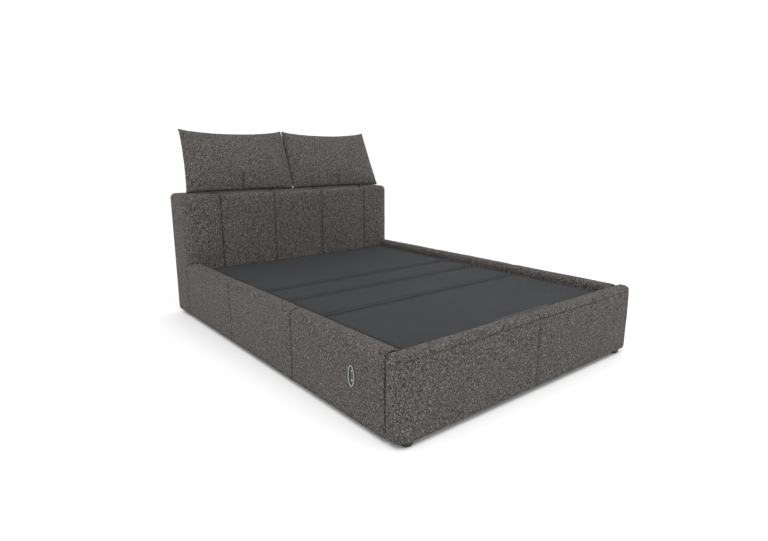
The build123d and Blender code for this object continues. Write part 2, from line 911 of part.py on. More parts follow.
def all_parts():
    """Every named piece of the bed base."""
    right_board = drilled_rail(rail_board())
    right_cover = drilled_rail(rail_cover())
    foot_board = footboard_board()
    head_board = headboard_front_board()
    for bolt in corner_bolt_list():
        foot_board = foot_board - bolt
        head_board = head_board - bolt
    rail_bolts = both_sides(*rail_bolt_list())
    right_cushion = headrest_cushion()
    back = (BACK_AXIS, BACK_TRAVEL_DEG, 1)
    thigh = (THIGH_AXIS, THIGH_TRAVEL_DEG, -1)
    return {
        "footboard_board": foot_board,
        "footboard_cover": footboard_cover(),
        "rail_board_right": right_board,
        "rail_board_left": left_of(right_board) - switch_hole(),
        "rail_cover_right": right_cover,
        "rail_cover_left": left_of(right_cover) - switch_hole(),
        "headboard_front_board": head_board,
        "headboard_end_boards": both_sides(headboard_side_board(), headboard_corner_post()),
        "headboard_top_board": headboard_top_board(),
        "headboard_rails": group(headboard_bottom_rail(), headboard_cross_rail()),
        "headboard_cover": headboard_cover(),
        "headboard_back_panel": headboard_back_panel(),
        "brackets": group(corner_brackets(), rail_brackets()),
        "bracket_bolts": group(*corner_bolt_list(), rail_bolts),
        "feet": feet(),
        "foot_glides": foot_glides(),
        "frame_tubes": group(both_sides(main_tube()), *cross_tubes(), *drive_hangers()),
        "support_legs": support_legs(),
        "leg_glides": leg_glides(),
        "buffers": buffers(),
        "seat_supports": both_sides(seat_support()),
        "seat_hinge_pins": seat_hinge_pins(),
        "seat_board": deck_board(SEAT_Y),
        "seat_cover": deck_cover(SEAT_Y),
        "back_board": deck_board(BACK_Y),
        "back_cover": deck_cover(BACK_Y),
        "back_frame": back_frame(),
        "back_drive_pin": drive_pin(*back),
        "thigh_board": deck_board(THIGH_Y),
        "thigh_cover": deck_cover(THIGH_Y),
        "thigh_frame": thigh_frame(),
        "thigh_drive_pin": drive_pin(*thigh),
        "knee_pins": knee_pins(),
        "leg_board": deck_board(LEG_Y),
        "leg_cover": deck_cover(LEG_Y),
        "leg_frame": leg_frame(),
        "roller_right": roller(),
        "roller_left": left_of(roller()),
        "mattress_stop": mattress_stop(),
        "back_carriage": carriage(*back),
        "thigh_carriage": carriage(*thigh),
        "drive_tracks": group(drive_track(13, 310), drive_track(-310, -13)),
        "drive_screws": group(drive_screw(13, 310), drive_screw(-310, -13)),
        "drive_motors": group(drive_motor(310, 430), drive_motor(-430, -310)),
        "control_box": control_box(),
        "power_supply": power_supply(),
        "mains_inlet": mains_inlet(),
        "cables": group(supply_cable(), back_motor_cable(), leg_motor_cable(), switch_cable()),
        "switch_bezel": switch_bezel(),
        "switch_housing": switch_housing(),
        "button_up": button(True),
        "button_down": button(False),
        "cushion_right": right_cushion,
        "cushion_left": left_of(right_cushion),
        "headrest_board_right": headrest_board(),
        "headrest_board_left": left_of(headrest_board()),
        "headrest_arms_right": headrest_arms(),
        "headrest_arms_left": group(left_of(headrest_arms())),
        "ratchet_plates": ratchet_plates(),
        "ratchet_pins": ratchet_pins(),
    }


for name, shape in all_parts().items():
    export_step(shape, f"parts/{name}.step")
    print(name, len(shape.solids()), round(shape.volume / 1e6, 3))
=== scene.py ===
# %% [markdown]
# # An adjustable bed base and its upholstery
# The steel frame, the boards and every joint come ready made as a fixed frame. This lesson
# dresses them: the surround gets its padded cloth, the headrests become real cushions, and
# each hidden part gets the finish it has in a workshop. Nothing here moves or resizes the
# frame, so the bed still folds exactly as its hinges say.

# %% Load the frame
import json
import math

import bmesh
import bpy
from mathutils import Matrix, Vector, noise


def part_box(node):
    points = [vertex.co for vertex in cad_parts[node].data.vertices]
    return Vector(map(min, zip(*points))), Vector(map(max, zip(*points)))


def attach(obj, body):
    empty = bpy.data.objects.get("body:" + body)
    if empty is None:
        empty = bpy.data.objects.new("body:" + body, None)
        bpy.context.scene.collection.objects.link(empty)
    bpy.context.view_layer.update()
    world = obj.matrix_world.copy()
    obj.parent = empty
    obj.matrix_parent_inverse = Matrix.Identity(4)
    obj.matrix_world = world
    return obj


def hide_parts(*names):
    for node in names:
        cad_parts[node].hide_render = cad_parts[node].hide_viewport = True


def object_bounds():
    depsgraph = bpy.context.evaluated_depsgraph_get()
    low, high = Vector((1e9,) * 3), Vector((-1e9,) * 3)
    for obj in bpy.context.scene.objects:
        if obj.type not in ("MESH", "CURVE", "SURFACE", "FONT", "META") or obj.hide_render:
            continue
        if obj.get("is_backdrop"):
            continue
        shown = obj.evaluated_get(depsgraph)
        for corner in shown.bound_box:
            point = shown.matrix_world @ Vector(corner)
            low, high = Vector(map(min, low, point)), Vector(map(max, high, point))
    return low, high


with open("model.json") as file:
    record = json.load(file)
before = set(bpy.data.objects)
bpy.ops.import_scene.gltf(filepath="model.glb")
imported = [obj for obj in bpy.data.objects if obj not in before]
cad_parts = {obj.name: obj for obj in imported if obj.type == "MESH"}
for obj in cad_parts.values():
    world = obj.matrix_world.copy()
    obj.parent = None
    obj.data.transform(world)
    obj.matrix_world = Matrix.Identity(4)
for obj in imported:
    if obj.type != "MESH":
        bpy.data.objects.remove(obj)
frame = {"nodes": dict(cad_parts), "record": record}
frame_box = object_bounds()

scene = bpy.context.scene
parts = frame["nodes"]
print(len(parts), "frame parts", [round(b - a, 3) for a, b in zip(*frame_box)])

# %% [markdown]
# ## A small language for cloth and paint
# Every finish below is arithmetic on noise: thread height, fleck colour, wear. Blender draws
# arithmetic as Math nodes, which is slow to read in code. A small class wraps a socket so that
# an ordinary expression adds the nodes for it. Colours and vectors need their own nodes, so
# they go through one method that adds any other node.


# %% Sockets as numbers
class Signal:
    """A socket that can be added, subtracted and multiplied like a number."""

    def __init__(self, tree, socket):
        self.tree = tree
        self.socket = socket

    def math(self, operation, a, b):
        node = self.tree.nodes.new("ShaderNodeMath")
        node.operation = operation
        for slot, value in zip(node.inputs, (a, b)):
            if isinstance(value, Signal):
                self.tree.links.new(value.socket, slot)
            else:
                slot.default_value = value
        return Signal(self.tree, node.outputs[0])

    def __add__(self, other):
        return self.math("ADD", self, other)

    __radd__ = __add__

    def __mul__(self, other):
        return self.math("MULTIPLY", self, other)

    __rmul__ = __mul__

    def __sub__(self, other):
        return self.math("SUBTRACT", self, other)

    def __rsub__(self, other):
        return self.math("SUBTRACT", other, self)

    def between(self, low, high):
        """0 below low, 1 above high and a smooth rise between them."""
        node = self.tree.nodes.new("ShaderNodeMapRange")
        node.interpolation_type = "SMOOTHSTEP"
        node.inputs["From Min"].default_value = low
        node.inputs["From Max"].default_value = high
        self.tree.links.new(self.socket, node.inputs["Value"])
        return Signal(self.tree, node.outputs["Result"])


# %% A finish and the nodes it is made of
class Finish:
    """A material with one Principled shader, and a short way to add nodes to it."""

    def __init__(self, name, colour, roughness, **constants):
        self.material = bpy.data.materials.new(name)
        self.material.use_nodes = True
        self.tree = self.material.node_tree
        self.shader = self.tree.nodes["Principled BSDF"]
        self.shader.inputs["Base Color"].default_value = (*colour, 1)
        self.shader.inputs["Roughness"].default_value = roughness
        for socket, value in constants.items():
            self.shader.inputs[socket.replace("_", " ")].default_value = value
        place = self.tree.nodes.new("ShaderNodeTexCoord")
        self.place = Signal(self.tree, place.outputs["Object"])

    def node(self, kind, settings=None, output=0, **values):
        """Adds any node: n0, n1 and so on pick a socket by number, other names by its label."""
        node = self.tree.nodes.new(kind)
        for key, value in (settings or {}).items():
            setattr(node, key, value)
        for key, value in values.items():
            numbered = key[0] == "n" and key[1:].isdigit()
            slot = node.inputs[int(key[1:]) if numbered else key.replace("_", " ")]
            if isinstance(value, Signal):
                self.tree.links.new(value.socket, slot)
            else:
                slot.default_value = value
        return Signal(self.tree, node.outputs[output])

    def vector(self, operation, **values):
        return self.node("ShaderNodeVectorMath", {"operation": operation}, **values)

    def stretch(self, scale):
        """Places squeezed along each axis, for a pattern that is longer one way."""
        return self.node("ShaderNodeMapping", Vector=self.place, Scale=scale)

    def noise(self, scale, detail=3, where=None, rough=0.55):
        at = where or self.place
        return self.node("ShaderNodeTexNoise", Vector=at, Scale=scale, Detail=detail, Roughness=rough)

    def cells(self, scale, where=None, feature="F1"):
        at = where or self.place
        return self.node("ShaderNodeTexVoronoi", {"feature": feature}, Vector=at, Scale=scale)

    def bands(self, direction, scale, bend, where=None, detail=2.0):
        """Parallel bands, bent out of line, for ribs and for growth rings."""
        return self.node(
            "ShaderNodeTexWave",
            {"wave_type": "BANDS", "bands_direction": direction},
            1,
            Vector=where or self.place,
            Scale=scale,
            Distortion=bend,
            Detail=detail,
        )

    def seam(self):
        """How much painted shade falls on a seam, stitch line, join or rim, from the attribute that
        paint_seam_shade leaves.
        """
        return self.node("ShaderNodeAttribute", {"attribute_name": "seam"}, "Fac")

    def blend(self, share, a, b):
        """One colour where share is 0, the other where it is 1; n6 and n7 are the two colours."""
        first, second = (v if isinstance(v, Signal) else (*v, 1) for v in (a, b))
        settings = {"data_type": "RGBA"}
        return self.node("ShaderNodeMix", settings, 2, n0=share, n6=first, n7=second)

    def feed(self, **signals):
        """Links each signal to the shader's socket of that name."""
        for name, signal in signals.items():
            self.tree.links.new(signal.socket, self.shader.inputs[name.replace("_", " ")])

    def bump(self, height, depth, strength=1.0):
        normal = self.node("ShaderNodeBump", Height=height, Distance=depth, Strength=strength)
        self.feed(Normal=normal)


def shade(colour, times, lift=0):
    """A darker or lighter version of a colour."""
    return tuple(c * times + lift for c in colour)


def paint_with(obj, finish):
    """Gives an object one finish and nothing else."""
    obj.data.materials.clear()
    obj.data.materials.append(finish.material)


print("tools for finishes are ready")

# %% [markdown]
# ## Boucle cloth
# The whole surround is covered in boucle: a woven ground with looped yarn that curls back on
# itself, so the surface is a field of small soft knots a few millimetres across. Light yarn
# and dark yarn are twisted together, which gives the salt and pepper look. The knots could be
# hair particles, but from a normal distance a bumped surface reads the same and stays light.
# Two sizes of cells, bent by noise so that no row shows, make the curls; a slower noise makes
# the yarn pale or dark; and a wide, faint noise keeps large areas from looking printed.
# The hollows between the knots, the seams, the joins and the cushion rims are darkened as painted
# shade.


# %% Boucle
def boucle_cloth(name, base, pale, dark):
    cloth = Finish(name, base, 0.95, Sheen_Weight=0.12, Sheen_Roughness=0.4)
    cloth.shader.inputs["Specular IOR Level"].default_value = 0.15
    cloth.shader.inputs["Sheen Tint"].default_value = (*pale, 1)
    wander = cloth.node("ShaderNodeTexNoise", {}, 1, Vector=cloth.place, Scale=120.0, Detail=2.0)
    centred = cloth.vector("SUBTRACT", n0=wander, n1=(0.5, 0.5, 0.5))
    bent = cloth.vector("ADD", n0=cloth.place, n1=cloth.vector("SCALE", n0=centred, Scale=0.011))
    knots = cloth.cells(240, bent, "SMOOTH_F1")
    curls = cloth.cells(460, bent)
    fuzz = cloth.noise(1300, 2)
    yarn = cloth.noise(180, 3, bent, 0.65)
    fleck = cloth.noise(125, 2, bent, 0.6)
    drift = cloth.noise(5, 3)
    height = (1 - knots) * 0.75 + (1 - curls) * 0.35 + fuzz * 0.12
    pale_share = yarn.between(0.50, 0.61) * 0.74
    dark_share = fleck.between(0.50, 0.61) * 0.78
    # Painted shade in the hollows between the knots, darker than any yarn.
    knot_gap_shade = knots.between(0.30, 0.70) * 0.75
    tone = cloth.blend(pale_share, base, pale)
    tone = cloth.blend(dark_share, tone, dark)
    tone = cloth.blend(knot_gap_shade, tone, shade(dark, 0.4))
    tone = cloth.blend(drift.between(0.35, 0.7) * 0.12, tone, shade(base, 0.6))
    # Painted shade on seams, stitch lines, joins and cushion rims, from the seam attribute.
    tone = cloth.blend(cloth.seam() * 0.85, tone, shade(dark, 0.5))
    cloth.feed(Base_Color=tone, Roughness=fuzz * 0.1 + 0.86)
    cloth.bump(height, 0.0032, 0.85)
    return cloth


YARN_GROUND = (0.092, 0.084, 0.077)
YARN_PALE = (0.325, 0.302, 0.284)
YARN_DARK = (0.016, 0.014, 0.013)
boucle = boucle_cloth("boucle", YARN_GROUND, YARN_PALE, YARN_DARK)
print("boucle:", len(boucle.tree.nodes), "nodes")

# %% [markdown]
# ## Plainer finishes
# The deck is covered in a charcoal knit with fine ribs, because nobody sees it under a
# mattress and it must not slip. The back of the headboard is closed with a black spun cloth.
# Timber shows growth lines along its length, plywood shows the same lines on its face, steel
# tube is powder coated with a faint orange peel, and zinc plating is bright with cloudy
# patches. Each gets the one or two features that the eye knows it by.


# %% Knit, felt and spun cloth
def knit_cloth():
    cloth = Finish("charcoal_knit", (0.022, 0.023, 0.026), 0.9, Sheen_Weight=0.04)
    cloth.shader.inputs["Specular IOR Level"].default_value = 0.2
    ribs = cloth.bands("X", 120.0, 1.2)
    courses = cloth.bands("Y", 95.0, 1.0)
    lint = cloth.noise(700, 2)
    soil = cloth.noise(4, 3)
    height = ribs * 0.6 + courses * 0.4 + lint * 0.3
    tone = cloth.blend(height * 0.6, (0.010, 0.011, 0.013), (0.042, 0.044, 0.050))
    tone = cloth.blend(soil.between(0.4, 0.7) * 0.25, tone, (0.036, 0.035, 0.036))
    # Painted shade in the stitch grooves, from the seam attribute.
    tone = cloth.blend(cloth.seam() * 0.6, tone, (0.004, 0.004, 0.005))
    cloth.feed(Base_Color=tone, Roughness=lint * 0.2 + 0.75)
    cloth.bump(height, 0.0012, 0.7)
    return cloth


def spun_cloth(name, colour):
    cloth = Finish(name, colour, 0.95, Sheen_Weight=0.1)
    dots = cloth.cells(420)
    strands = cloth.noise(500, 4, cloth.stretch((1, 3, 0.4)), 0.7)
    cloth.feed(Base_Color=cloth.blend(strands, colour, shade(colour, 2.2)))
    cloth.feed(Roughness=dots * 0.2 + 0.75)
    cloth.bump(strands + dots * 0.5, 0.0006, 0.6)
    return cloth


knit = knit_cloth()
lining = spun_cloth("black_lining", (0.012, 0.012, 0.012))
felt = spun_cloth("grey_felt", (0.05, 0.048, 0.045))


# %% Timber and plywood
def grained_wood(name, pale, dark, squash):
    wood = Finish(name, pale, 0.6)
    along = wood.stretch(squash)
    rings = wood.bands("DIAGONAL", 9.0, 9.0, along, 3.0)
    pores = wood.noise(90, 4, along, 0.7)
    tone = wood.blend(rings * 0.6 + pores * 0.35, pale, dark)
    wood.feed(Base_Color=tone, Roughness=pores * 0.25 + 0.45)
    wood.bump(pores + rings * 0.4, 0.0006, 0.5)
    return wood


timber = grained_wood("pine", (0.58, 0.40, 0.22), (0.36, 0.21, 0.10), (0.8, 0.8, 6))
plywood = grained_wood("birch_ply", (0.60, 0.45, 0.29), (0.44, 0.30, 0.17), (6, 0.7, 3))


# %% Steel, zinc, aluminium and chrome
def coated_steel(black=(0.014, 0.014, 0.015), dusty=(0.05, 0.048, 0.045)):
    steel = Finish("powder_coat", black, 0.42)
    peel = steel.noise(600, 2)
    dust = steel.noise(6, 4, rough=0.7)
    tone = steel.blend(dust.between(0.45, 0.75) * 0.5, black, dusty)
    steel.feed(Base_Color=tone, Roughness=dust * 0.25 + 0.32)
    steel.bump(peel, 0.0003, 0.5)
    return steel


def bare_metal(name, colour, roughness, cloud_scale, lines):
    metal = Finish(name, colour, roughness, Metallic=1.0)
    cloud = metal.noise(cloud_scale, 4, rough=0.65)
    brushed = metal.noise(260, 2, metal.stretch(lines))
    tone = metal.blend(cloud.between(0.3, 0.7) * 0.5, colour, shade(colour, 0.72))
    metal.feed(Base_Color=tone, Roughness=cloud * 0.15 + brushed * 0.12 + (roughness - 0.13))
    metal.bump(brushed, 0.0002, 0.35)
    return metal


steel_paint = coated_steel()
zinc = bare_metal("zinc_plate", (0.58, 0.58, 0.56), 0.36, 60, (1, 1, 1))
aluminium = bare_metal("drawn_aluminium", (0.74, 0.74, 0.75), 0.34, 12, (6, 0.2, 6))
chrome = bare_metal("switch_chrome", (0.36, 0.355, 0.35), 0.34, 40, (1, 1, 1))


# %% Plastics and rubber
def moulded(name, colour, roughness, grain_scale, grain_depth):
    plastic = Finish(name, colour, roughness)
    grain = plastic.noise(grain_scale, 3)
    rub = plastic.noise(14, 3)
    tone = plastic.blend(rub.between(0.4, 0.75) * 0.35, colour, shade(colour, 1.5, 0.01))
    plastic.feed(Base_Color=tone, Roughness=grain * 0.2 + (roughness - 0.1))
    plastic.bump(grain, grain_depth, 0.5)
    return plastic


black_plastic = moulded("black_plastic", (0.014, 0.014, 0.014), 0.5, 900, 0.0003)
nylon = moulded("nylon", (0.62, 0.60, 0.55), 0.42, 300, 0.0002)
rubber = moulded("rubber", (0.018, 0.018, 0.018), 0.7, 500, 0.0004)
button_grey = moulded("button_grey", (0.040, 0.040, 0.042), 0.4, 1200, 0.0002)
print(len(bpy.data.materials), "materials so far")

# %% [markdown]
# ## Shaping padding
# An upholstered board is a box first: its corners are beveled to the radius of the foam, then
# it is sliced into a fine grid so that there is something to push. Padding is pushed along
# the surface normal by a rule made for each piece, such as the distance to a seam. Doing it
# by rule instead of by brush keeps left and right alike and gives the same cloth every run.


# %% Bench tools for padding
def edges_where(bm, rule):
    """The edges whose two ends pass a rule."""
    return [e for e in bm.edges if rule(*(v.co for v in e.verts))]


def rounded(bm, edges, radius, segments):
    bmesh.ops.bevel(
        bm,
        geom=edges,
        offset=radius,
        offset_type="OFFSET",
        segments=segments,
        profile=0.5,
        affect="EDGES",
        material=-1,
        clamp_overlap=True,
    )


def sliced(bm, axis, places):
    """Cuts the mesh across one axis at each place, and leaves it in one piece."""
    normal = [0, 0, 0]
    normal[axis] = 1
    for place in places:
        point = [0, 0, 0]
        point[axis] = place
        everything = bm.verts[:] + bm.edges[:] + bm.faces[:]
        bmesh.ops.bisect_plane(bm, geom=everything, plane_co=point, plane_no=normal, dist=1e-5)


def steps(low, high, pitch, extra=(), keep_off=0.004):
    """Evenly spread cuts between two ends, with closer ones at chosen places."""
    count = max(1, round((high - low) / pitch))
    even = [low + (high - low) * k / count for k in range(1, count)]
    even = [p for p in even if all(abs(p - e) > keep_off for e in extra)]
    return sorted(even + list(extra))


def block(low, high):
    low, high = Vector(low), Vector(high)
    bm = bmesh.new()
    bmesh.ops.create_cube(bm, size=1)
    bmesh.ops.scale(bm, vec=high - low, verts=bm.verts)
    bmesh.ops.translate(bm, vec=(high + low) / 2, verts=bm.verts)
    return bm


def turned(bm, angle, axis, verts=None):
    """Turns a bench mesh, or some of its vertices, about the origin."""
    matrix = Matrix.Rotation(angle, 3, axis)
    bmesh.ops.rotate(bm, cent=(0, 0, 0), matrix=matrix, verts=verts or bm.verts)


def pushed(bm, rule):
    """Moves every vertex along its own normal by rule(place, normal)."""
    bm.normal_update()
    moves = [(v, v.normal.copy() * rule(v.co, v.normal)) for v in bm.verts]
    for v, move in moves:
        v.co += move


def finished(name, bm, finish, smooth=True):
    """Turns a bench mesh into an object in the scene, faces outward."""
    bmesh.ops.remove_doubles(bm, verts=bm.verts, dist=1e-6)
    bmesh.ops.recalc_face_normals(bm, faces=bm.faces)
    mesh = bpy.data.meshes.new(name)
    bm.to_mesh(mesh)
    bm.free()
    if smooth:
        mesh.shade_smooth()
    obj = bpy.data.objects.new(name, mesh)
    scene.collection.objects.link(obj)
    obj.data.materials.append(finish.material)
    return obj


def apply_modifier(obj, kind, **settings):
    """Adds a modifier, makes its result the object's own mesh, and is done with it."""
    modifier = obj.modifiers.new(kind.lower(), kind)
    for key, value in settings.items():
        setattr(modifier, key, value)
    bpy.context.view_layer.objects.active = obj
    bpy.ops.object.modifier_apply(modifier=modifier.name)


def dressed(skin, body, node):
    """Hangs a padded piece on the body it rides on and hides the frame node it replaces."""
    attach(skin, body)
    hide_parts(node)
    return skin


def lumps(co, size, seed):
    """Slow unevenness of hand-laid wadding, from -1 to 1."""
    return noise.noise(co / size + Vector((seed * 7.3, seed * 3.1, seed * 1.7)))


def paint_seam_shade(obj, rule):
    """Leaves 0 to 1 of painted shade on every vertex, by rule(place, normal), for the cloth to darken
    at seams, joins and rims.
    """
    layer = obj.data.attributes.new("seam", "FLOAT", "POINT")
    for vert, value in zip(obj.data.vertices, layer.data):
        value.value = rule(vert.co, vert.normal)


def crease(gap, width):
    """1 on a seam, falling away to nothing over its width."""
    return math.exp(-((gap / width) ** 2))


def fading(gap, reach):
    """1 at an edge, falling to a third at each further reach from it."""
    return math.exp(-gap / reach)


def beside(seams, cuts):
    """The places at and on both sides of each seam, for closer cuts there."""
    return [seam + cut for seam in seams for cut in cuts]


QUARTER = math.pi / 2
EDGE = 0.001
GRID = 0.016
SEAM_CUTS = (-0.012, -0.005, 0, 0.005, 0.012)
CUT_SPACE = 0.006
PUCKER_REACH = 0.03
UNDER_WRAP = 0.0012
ON_SEAM = 0.002


print("bench tools ready")

# %% [markdown]
# ## The headboard
# The headboard is a deep box. Its cover is sewn from five upright panels, and each seam is
# pulled down to the board, so that the front and the top swell between the seams like a row
# of soft pillars. The swelling is a curve of the distance to the nearest seam. Close to a
# seam the cloth also gathers into short puckers, and they fade within a hand's width.

# %% Headboard
PANEL_WIDTH = 0.405
SEAMS = tuple(PANEL_WIDTH * k for k in (-1.5, -0.5, 0.5, 1.5))
HEADBOARD_CORNER = 0.078
HEADBOARD_ROLL = 0.034
PILLAR_SAG = 0.011
SEAM_SINK = 0.006


def headboard_skin():
    low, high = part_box("headboard_cover")
    bm = block(low, high)
    upright = edges_where(bm, lambda a, b: max(a.y, b.y) < low.y + EDGE and a.z != b.z)
    rounded(bm, upright, HEADBOARD_CORNER, 9)
    top = edges_where(bm, lambda a, b: min(a.z, b.z) > high.z - EDGE and min(a.y, b.y) < high.y - EDGE)
    rounded(bm, top, HEADBOARD_ROLL, 6)
    sliced(bm, 0, steps(low.x, high.x, GRID, beside(SEAMS, SEAM_CUTS), CUT_SPACE))
    sliced(bm, 1, steps(low.y, high.y, GRID))
    sliced(bm, 2, steps(low.z, high.z, GRID))

    def swell(co, normal):
        gap = min(abs(co.x - s) for s in SEAMS)
        if normal.z < -0.7:
            return UNDER_WRAP
        if normal.y > 0.7:
            return 0
        facing = (1 - abs(normal.x) ** 2) * (1 - 0.45 * max(0, normal.z))
        sag = max(0, 1 - gap / 0.17) ** 2.3 * PILLAR_SAG
        sink = crease(gap, 0.0045) * SEAM_SINK
        pucker = noise.noise(Vector((co.x * 9, co.y * 24, co.z * 24))) * 0.0022
        fold = fading(gap, PUCKER_REACH) * pucker
        loose = lumps(co, 0.22, 1) * 0.0022 + lumps(co, 0.07, 2) * 0.0007
        foot = fading(co.z - low.z, 0.015) * -0.004
        return (-sag - sink + fold) * facing + loose + foot

    pushed(bm, swell)
    skin = finished("headboard_upholstery", bm, boucle)
    # Painted shade along the seam creases.
    paint_seam_shade(skin, lambda co, normal: min(abs(co.x - s) for s in SEAMS) < ON_SEAM)
    return skin


headboard = dressed(headboard_skin(), "base", "headboard_cover")
print("headboard:", len(headboard.data.polygons), "faces")

# %% [markdown]
# ## The footboard and the rails
# These are boards wrapped in wadding and cloth. The footboard turns both corners in one piece
# and has a single seam in the middle. Each rail is joined from three lengths with two upright
# seams, and its top edge is rolled. A line of stitching runs along the top front edge of the
# footboard, where the cloth is turned over. All of it is the same rule with other seams.


# %% Footboard
FOOT_CORNER = 0.052
FOOT_ROLL = 0.024
FOOT_HEM = 0.012
TURN_DOWN = 0.026


def footboard_skin():
    low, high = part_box("footboard_cover")
    bm = block(low, high)
    upright = edges_where(bm, lambda a, b: max(a.y, b.y) < low.y + EDGE and a.z != b.z)
    rounded(bm, upright, FOOT_CORNER, 8)
    top = edges_where(bm, lambda a, b: min(a.z, b.z) > high.z - EDGE)
    rounded(bm, top, FOOT_ROLL, 5)
    hem = edges_where(bm, lambda a, b: max(a.z, b.z) < low.z + EDGE and min(a.y, b.y) < high.y - EDGE)
    rounded(bm, hem, FOOT_HEM, 3)
    turn = high.z - TURN_DOWN
    sliced(bm, 0, steps(low.x, high.x, GRID, SEAM_CUTS, CUT_SPACE))
    sliced(bm, 1, steps(low.y, high.y, 0.014, [high.y - 0.006]))
    sliced(bm, 2, steps(low.z, high.z, GRID, beside([turn], (-0.004, 0, 0.004)), 0.005))

    def swell(co, normal):
        if normal.z < -0.7:
            return UNDER_WRAP
        outer = max(0, -normal.y) + abs(normal.x) * 0.5
        gap = abs(co.x)
        sink = crease(gap, 0.004) * 0.005 + max(0, 1 - gap / 0.06) ** 2 * 0.003
        seam = crease(co.z - turn, 0.0035) * 0.0038
        belly = math.sin(math.pi * (co.z - low.z) / (high.z - low.z)) * 0.002
        fold = fading(gap, PUCKER_REACH) * noise.noise(Vector((co.x * 9, 0, co.z * 30))) * 0.0015
        loose = lumps(co, 0.20, 3) * 0.0018 + lumps(co, 0.06, 4) * 0.0006
        tuck = fading(high.y - co.y, 0.006) * abs(normal.x) * 0.006
        shape = (belly + fold - sink - seam) * min(1, outer) - tuck
        return shape + loose * min(1, outer + max(0, normal.z)) - 0.002

    pushed(bm, swell)
    skin = finished("footboard_upholstery", bm, boucle)

    # Painted shade along the middle seam, the turned-over stitch line and the back corners where the
    # rails meet the footboard.
    def sewn(co, normal):
        middle = abs(co.x) < ON_SEAM
        turned = abs(co.z - turn) < ON_SEAM and normal.y < -0.3
        joined = high.y - co.y < ON_SEAM and abs(co.x) > high.x - 0.03
        return 0.9 * middle or 0.55 * turned or 0.8 * joined

    paint_seam_shade(skin, sewn)
    return skin


footboard = dressed(footboard_skin(), "base", "footboard_cover")
print("footboard:", len(footboard.data.polygons), "faces")

# %% [markdown]
# ## Where a rail meets the headboard
# The head end of each rail is cut to lie against the round corner of the headboard, so the
# joint between them is a curve seen from above. The cloth of the rail is tucked into that
# joint. The tuck has to follow the same curve, so its depth comes from the distance to it.

# %% Rails
RAIL_SEAMS = (-0.403, 0.316)
RAIL_CUTS = (-0.012, -0.006, 0, 0.006, 0.012)
RAIL_ROLL = 0.030
CORNER_RADIUS = 0.08
HEADBOARD_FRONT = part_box("headboard_cover")[0].y
CORNER_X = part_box("headboard_cover")[1].x - CORNER_RADIUS


def gap_to_headboard(co):
    """How far a point on a rail stands from the front and round corner of the headboard."""
    over = abs(co.x) - CORNER_X
    if over <= 0:
        return max(0, HEADBOARD_FRONT - co.y)
    return max(0, math.hypot(over, HEADBOARD_FRONT + CORNER_RADIUS - co.y) - CORNER_RADIUS)


def rail_skin(name, node, outward):
    low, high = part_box(node)
    bm = block(low, high)
    top = edges_where(bm, lambda a, b: min(a.z, b.z) > high.z - EDGE and a.y != b.y)
    rounded(bm, top, RAIL_ROLL, 6)
    closer = [low.y + 0.006, *beside(RAIL_SEAMS, RAIL_CUTS)]
    sliced(bm, 1, steps(low.y, high.y, GRID, closer, CUT_SPACE))
    sliced(bm, 2, steps(low.z, high.z, GRID))
    sliced(bm, 0, steps(low.x, high.x, GRID))
    seed = 5 if outward > 0 else 6

    def swell(co, normal):
        if normal.z < -0.7:
            return UNDER_WRAP
        outer = max(0, normal.x * outward)
        above = max(0, normal.z)
        gap = min(abs(co.y - s) for s in RAIL_SEAMS)
        sink = crease(gap, 0.004) * 0.004 + max(0, 1 - gap / 0.06) ** 2 * 0.002
        head_tuck = fading(gap_to_headboard(co), 0.010) * (0.007 if outer < 0.5 else 0.0015)
        tuck = fading(co.y - low.y, 0.007) * 0.012 + head_tuck
        fold = fading(gap, PUCKER_REACH) * noise.noise(Vector((co.y * 9, seed, co.z * 30))) * 0.0016
        loose = lumps(co, 0.22, seed) * 0.0016 + lumps(co, 0.06, seed + 2) * 0.0006
        return (-sink + fold - tuck) * max(outer, above) + loose * max(outer, above) - 0.0015

    pushed(bm, swell)
    skin = finished(name, bm, boucle)

    # Painted shade along the two seams and where the rail tucks against the footboard and the
    # headboard.
    def sewn(co, normal):
        joined = min(abs(co.y - s) for s in RAIL_SEAMS) < ON_SEAM
        ended = co.y - low.y < 0.003 or (gap_to_headboard(co) < 0.004 and abs(normal.x) < 0.8)
        return 0.9 * joined or ended

    paint_seam_shade(skin, sewn)
    return dressed(skin, "base", node)


rail_right = rail_skin("rail_upholstery_right", "rail_cover_right", 1)
rail_left = rail_skin("rail_upholstery_left", "rail_cover_left", -1)
print("rails:", len(rail_left.data.polygons) * 2, "faces")

# %% [markdown]
# ## The opening for the switch
# The oval switch sits in a pocket in the left rail. The ring covers the cut edge of the cloth,
# so the hole only has to be clean and a little smaller than the ring. A Boolean modifier with
# an oval block cuts it in one go and is then applied, which leaves a closed mesh.


# %% Cutting one piece out of another
def cut_away(obj, cutters):
    """Takes the shape of each bench mesh out of the object, for good."""
    for bm in cutters:
        tool = finished("cutter", bm, boucle, smooth=False)
        apply_modifier(obj, "BOOLEAN", operation="DIFFERENCE", solver="EXACT", object=tool)
        bpy.data.meshes.remove(tool.data)


def oval_block(low, high, inset):
    """An upright oval across X between two corners, made smaller all round by inset."""
    wide = (high.y - low.y) / 2 - inset
    tall = (high.z - low.z) / 2 - inset
    middle = (low + high) / 2
    deep = high.x - low.x
    bm = bmesh.new()
    bmesh.ops.create_cone(bm, cap_ends=True, segments=48, radius1=wide, radius2=wide, depth=deep)
    turned(bm, QUARTER, "Y")
    bmesh.ops.scale(bm, vec=(1, 1, tall / wide), verts=bm.verts)
    bmesh.ops.translate(bm, vec=middle, verts=bm.verts)
    return bm


